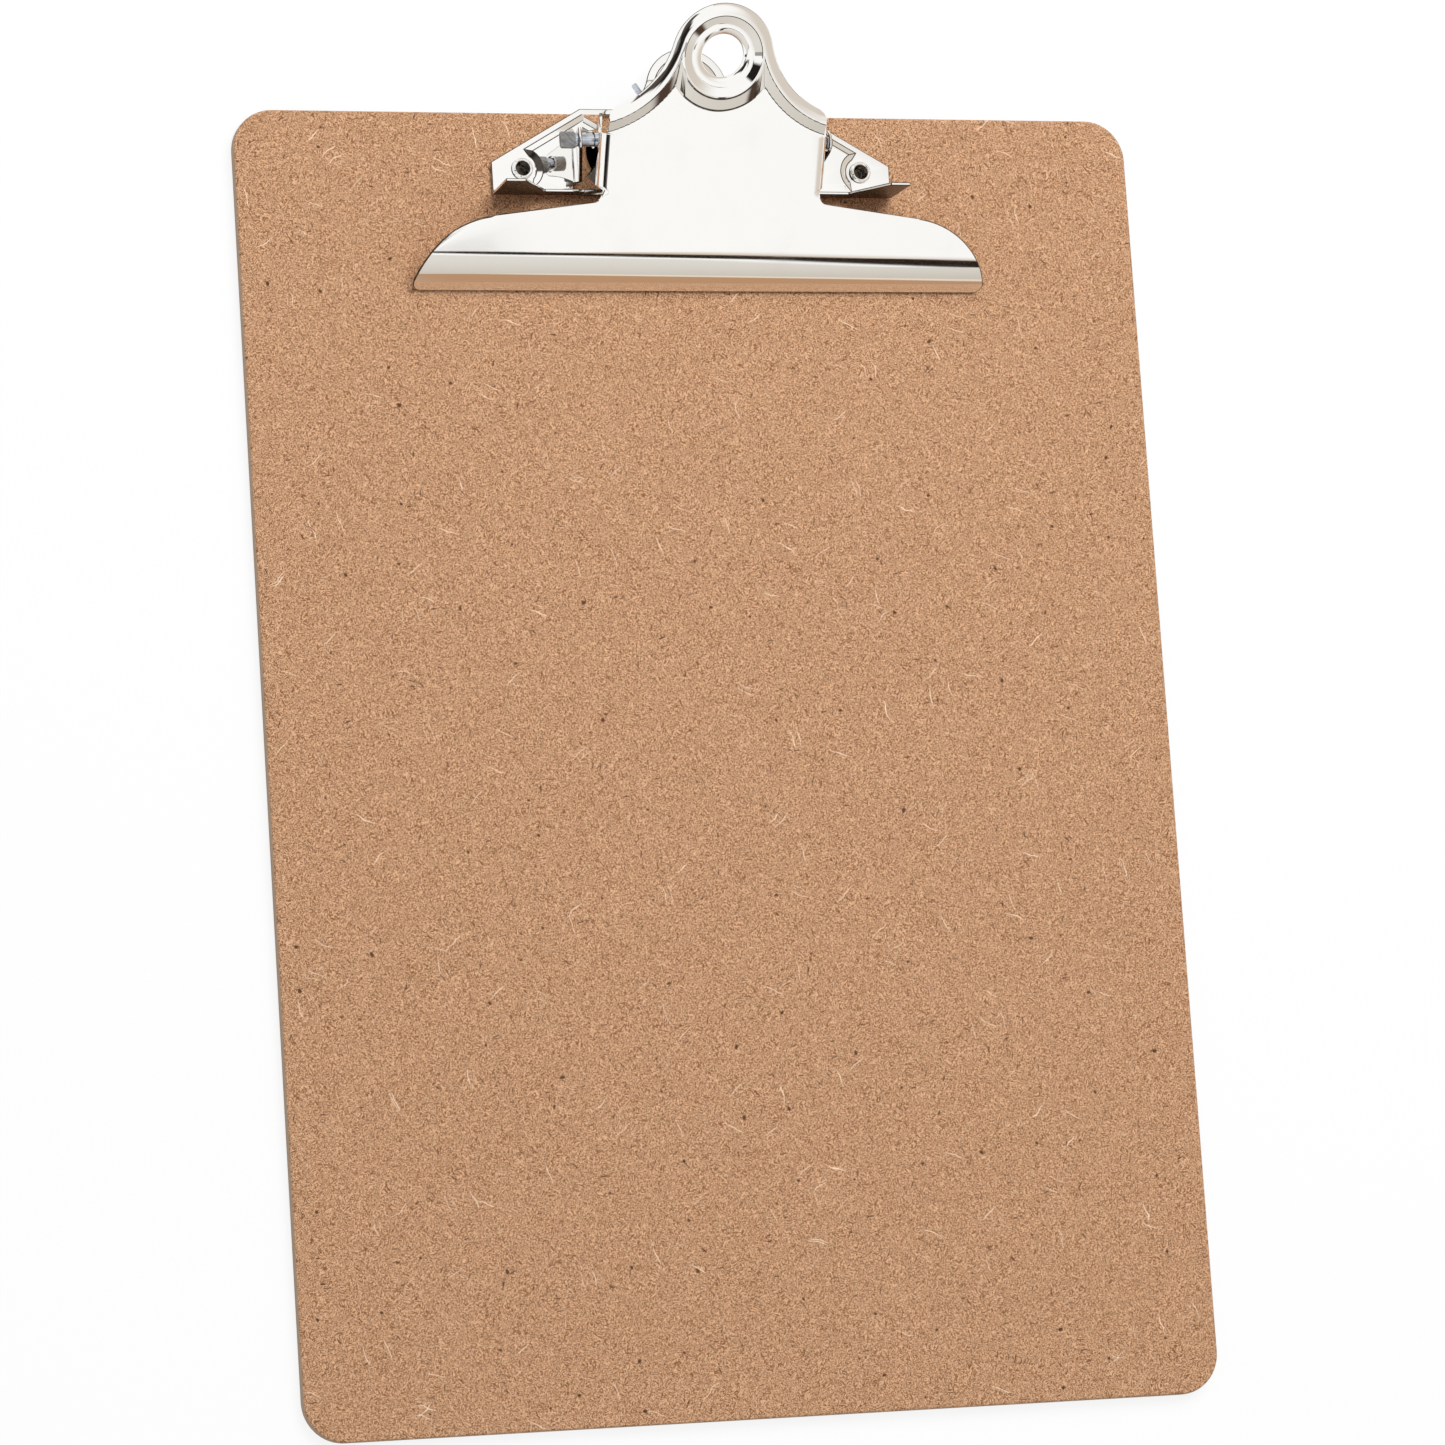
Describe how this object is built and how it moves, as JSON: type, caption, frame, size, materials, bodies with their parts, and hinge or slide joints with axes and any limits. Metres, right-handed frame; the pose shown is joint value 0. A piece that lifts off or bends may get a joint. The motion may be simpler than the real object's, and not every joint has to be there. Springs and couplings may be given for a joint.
{
  "type": "clipboard",
  "caption": "Hardboard clipboard with a sprung lever clip: a rolled jaw holds paper on the board, and a beaded finger lever with a hanging eye lifts it.",
  "frame": {"origin": "middle of the board's back face", "axes": "+X across the board to the right, +Y up the board to the clip, +Z out of the writing face"},
  "size_m": [0.2286, 0.3358, 0.0393],
  "materials": {
    "hardboard": "matt pressed fibre",
    "nickel_plate": "bright nickel plate on pressed steel",
    "zinc_steel": "zinc plate, pale blue grey"
  },
  "bodies": {
    "base": {"board": "hardboard", "base_plate": "nickel_plate", "pivot_pin": "zinc_steel", "torsion_spring": "zinc_steel", "rivet_left": "nickel_plate", "rivet_right": "nickel_plate"},
    "jaw": {"jaw_plate": "nickel_plate"}
  },
  "joints": [
    {"name": "jaw_hinge", "type": "hinge", "parent": "base", "child": "jaw", "pos_m": [0, 0.1485, 0.0172], "axis": [-1, 0, 0], "range_deg": [0, 45], "stiffness_Nm_per_rad": 0.2, "springref_deg": -57.3, "deforming": ["torsion_spring"]}
  ]
}
